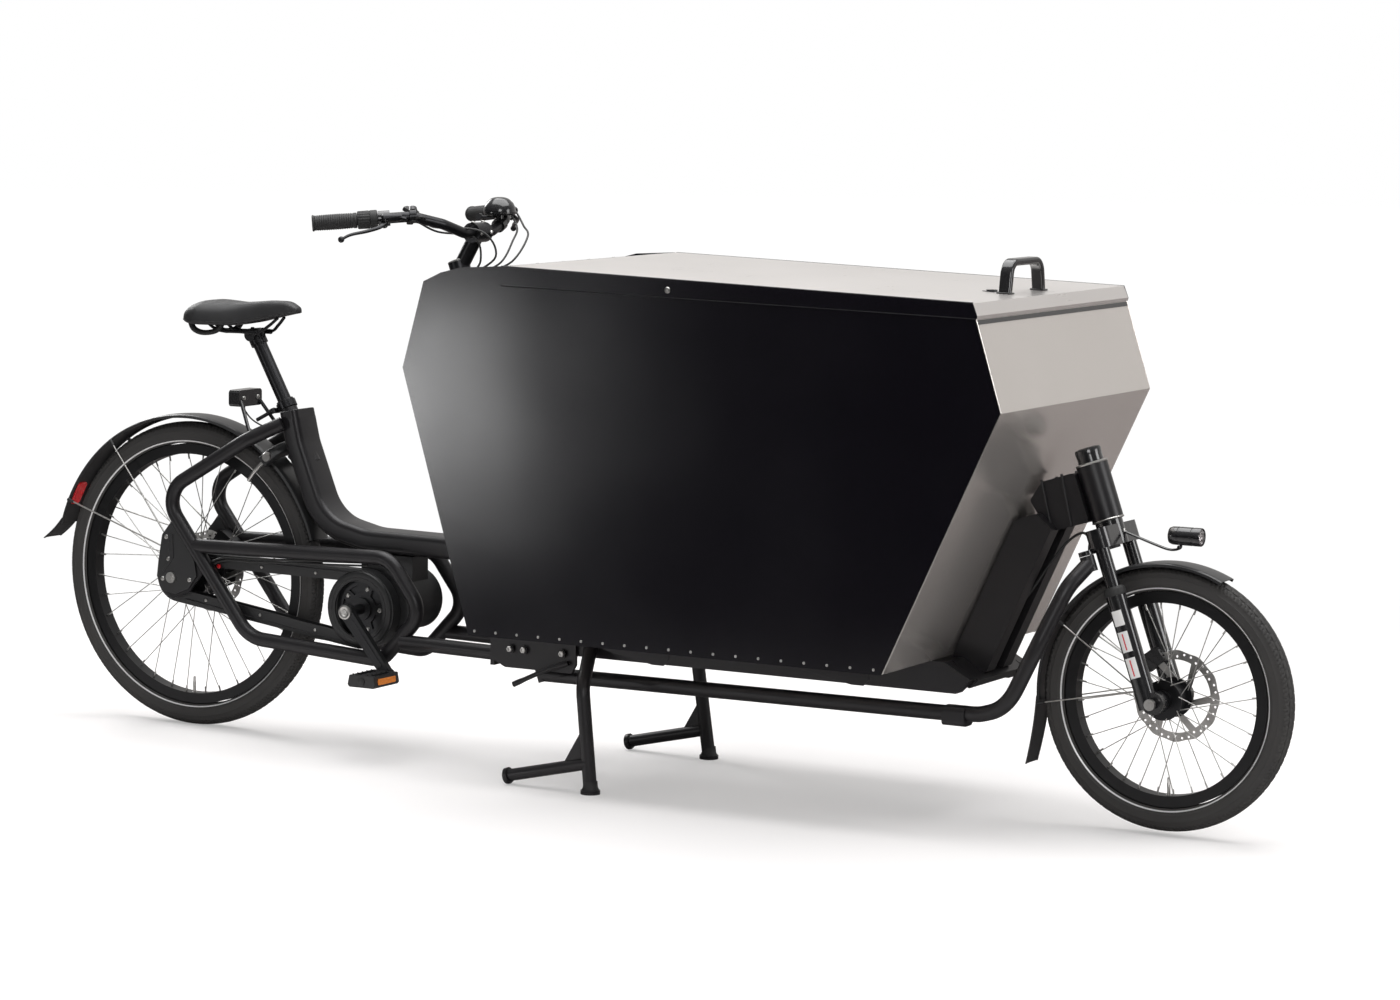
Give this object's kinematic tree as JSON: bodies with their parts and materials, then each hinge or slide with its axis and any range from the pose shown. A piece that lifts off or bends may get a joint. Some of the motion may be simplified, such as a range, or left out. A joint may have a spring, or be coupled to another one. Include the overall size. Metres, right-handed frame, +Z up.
{
  "type": "cargo bicycle",
  "caption": "Electric front-loading cargo bicycle with linkage steering, a closed lidded box ahead of the rider and a two-legged stand.",
  "frame": {"origin": "on the ground, under the middle of the bicycle's length and width, with the stand down", "axes": "+X forward along the bicycle, +Y to the rider's left, +Z up"},
  "size_m": [2.966, 0.702, 1.178],
  "materials": {
    "frame_paint": "satin powder coat over aluminium tube",
    "stand_paint": "satin powder coat over steel",
    "box_gloss": "gloss black coated aluminium sheet",
    "box_sheet": "satin anodised sheet",
    "tyre_rubber": "moulded tread",
    "rim_black": "black anodised",
    "steel": "bare steel",
    "black_plastic": "moulded",
    "grip_rubber": "moulded",
    "black_alloy": "black anodised",
    "saddle_vinyl": "grained cover",
    "gloss_black": "gloss",
    "lamp_black": "gloss with lens"
  },
  "bodies": {
    "frame": {"main_tube": "frame_paint", "column_tube": "frame_paint", "rear_frame": "frame_paint", "bottom_rails": "frame_paint", "front_tray": "frame_paint", "front_beams": "frame_paint", "head_tube": "frame_paint", "motor_unit": "black_plastic", "drive_chain": "steel", "chain_case": "black_plastic", "rear_caliper": "black_alloy", "battery_pack": "black_plastic", "rear_fender": "black_plastic", "rear_light": "lamp_black", "ring_lock_body": "black_plastic", "rear_axle": "steel", "box_sides": "box_gloss", "box_floor": "box_sheet", "box_rear_wall": "box_sheet", "box_front_panel": "box_sheet"},
    "rear_wheel": {"rear_tyre": "tyre_rubber", "rear_rim": "rim_black", "rear_hub": "black_alloy", "rear_spokes": "steel", "rear_disc": "steel"},
    "sprocket": {"rear_sprocket": "steel"},
    "crank": {"crankset": "black_alloy"},
    "pedal_r": {"right_pedal": "black_plastic"},
    "pedal_l": {"left_pedal": "black_plastic"},
    "lock_hook": {"ring_lock_hook": "steel"},
    "lid_panel": {"lid": "box_sheet", "lid_handle": "black_plastic"},
    "lid_cam": {"lid_lock": "black_alloy"},
    "strut_barrels": {"strut_cylinders": "black_alloy"},
    "strut_pistons": {"strut_rods": "steel"},
    "steering": {"steering_shaft": "black_alloy", "stem": "black_alloy", "handlebar": "black_alloy", "grips": "grip_rubber", "bar_clamps": "gloss_black", "control_cables": "grip_rubber"},
    "shifter": {"twist_shifter": "black_plastic"},
    "lever_r": {"right_brake_lever": "black_alloy"},
    "lever_l": {"left_brake_lever": "black_alloy"},
    "bell_thumb": {"bell_lever": "black_plastic"},
    "link": {"drag_link": "stand_paint"},
    "fork": {"fork_upper": "black_alloy", "headlight": "lamp_black"},
    "fork_slider": {"fork_lower": "black_alloy", "front_fender": "black_plastic", "front_axle": "steel"},
    "front_wheel": {"front_tyre": "tyre_rubber", "front_rim": "rim_black", "front_hub": "black_alloy", "front_spokes": "steel", "front_disc": "steel"},
    "stand": {"kickstand": "stand_paint"},
    "seat": {"seat_post": "black_alloy", "saddle": "saddle_vinyl"},
    "seat_cam": {"seat_clamp": "black_alloy"}
  },
  "joints": [
    {"name": "rear_wheel_spin", "type": "hinge", "parent": "frame", "child": "rear_wheel", "pos_m": [-1.081, 0, 0.3345], "axis": [0, 1, 0], "continuous": true},
    {"name": "crank_spin", "type": "hinge", "parent": "frame", "child": "crank", "pos_m": [-0.604, 0, 0.3], "axis": [0, 1, 0], "continuous": true},
    {"name": "sprocket_spin", "type": "hinge", "parent": "frame", "child": "sprocket", "pos_m": [-1.081, 0, 0.3345], "axis": [0, 1, 0], "continuous": true},
    {"name": "right_pedal_spin", "type": "hinge", "parent": "crank", "child": "pedal_r", "pos_m": [-0.49794, 0, 0.1736], "axis": [0, 1, 0], "continuous": true},
    {"name": "left_pedal_spin", "type": "hinge", "parent": "crank", "child": "pedal_l", "pos_m": [-0.71006, 0, 0.4264], "axis": [0, 1, 0], "continuous": true},
    {"name": "ring_lock_slide", "type": "hinge", "parent": "frame", "child": "lock_hook", "pos_m": [-0.88013, 0, 0.57389], "axis": [-0.766, 0, 0.6428], "range_deg": [-145, 0]},
    {"name": "lid_open", "type": "hinge", "parent": "frame", "child": "lid_panel", "pos_m": [-0.085, 0, 1.057], "axis": [0, -1, 0], "range_deg": [0, 60]},
    {"name": "lid_key", "type": "hinge", "parent": "lid_panel", "child": "lid_cam", "pos_m": [0.854, -0.046, 1.03678], "axis": [0, 0, 1], "range_deg": [0, 90]},
    {"name": "strut_swing", "type": "hinge", "parent": "frame", "child": "strut_barrels", "pos_m": [-0.021, 0, 0.8], "axis": [0, -1, 0], "range_deg": [0, 39.89]},
    {"name": "strut_stroke", "type": "slide", "parent": "strut_barrels", "child": "strut_pistons", "axis": [0.8151, 0, 0.5793], "range_m": [0, 0.20247]},
    {"name": "steer", "type": "hinge", "parent": "frame", "child": "steering", "pos_m": [-0.112, 0, 0.222], "axis": [-0.3338, 0, 0.9426], "range_deg": [-38, 30], "deforming": ["control_cables"]},
    {"name": "link_swing", "type": "hinge", "parent": "steering", "child": "link", "pos_m": [-0.14072, -0.082, 0.21923], "axis": [-0.3338, 0, 0.9426], "range_deg": [-30, 38]},
    {"name": "fork_steer", "type": "hinge", "parent": "frame", "child": "fork", "pos_m": [1.2118, 0, 0.26133], "axis": [-0.3338, 0, 0.9426], "range_deg": [-38, 30]},
    {"name": "fork_travel", "type": "slide", "parent": "fork", "child": "fork_slider", "axis": [-0.3338, 0, 0.9426], "range_m": [0, 0.03], "stiffness_N_per_m": 9000, "springref_m": -0.004},
    {"name": "front_wheel_spin", "type": "hinge", "parent": "fork_slider", "child": "front_wheel", "pos_m": [1.225, 0, 0.266], "axis": [0, 1, 0], "continuous": true},
    {"name": "shift_twist", "type": "hinge", "parent": "steering", "child": "shifter", "pos_m": [-0.48933, -0.24986, 1.136], "axis": [0.8073, 0.5853, 0.0757], "range_deg": [-60, 60]},
    {"name": "right_brake", "type": "hinge", "parent": "steering", "child": "lever_r", "pos_m": [-0.42497, -0.2452, 1.13216], "axis": [0, 0, -1], "range_deg": [0, 9], "stiffness_Nm_per_rad": 2, "springref_deg": -5.73},
    {"name": "left_brake", "type": "hinge", "parent": "steering", "child": "lever_l", "pos_m": [-0.42295, 0.24373, 1.13235], "axis": [0, 0, 1], "range_deg": [0, 9], "stiffness_Nm_per_rad": 2, "springref_deg": -5.73},
    {"name": "bell_press", "type": "hinge", "parent": "steering", "child": "bell_thumb", "pos_m": [-0.3763, 0.096, 1.134], "axis": [0, 0, 1], "range_deg": [0, 18], "stiffness_Nm_per_rad": 0.2, "springref_deg": -5.73},
    {"name": "stand_fold", "type": "hinge", "parent": "frame", "child": "stand", "pos_m": [0.016, 0, 0.276], "axis": [0, 1, 0], "range_deg": [0, 85]},
    {"name": "seat_height", "type": "slide", "parent": "frame", "child": "seat", "axis": [-0.4848, 0, 0.8746], "range_m": [-0.05, 0.08]},
    {"name": "seat_lever", "type": "hinge", "parent": "frame", "child": "seat_cam", "pos_m": [-0.86017, -0.023, 0.70587], "axis": [-0.4848, 0, 0.8746], "range_deg": [0, 110]}
  ],
  "couplings": [
    {"joint": "sprocket_spin", "follows": "crank_spin", "ratio": 1.8889},
    {"joint": "strut_swing", "follows": "lid_open", "ratio": 0.66397},
    {"joint": "strut_stroke", "follows": "lid_open", "m_per_rad": 0.19287},
    {"joint": "link_swing", "follows": "steer", "ratio": -1},
    {"joint": "fork_steer", "follows": "steer", "ratio": 1}
  ]
}
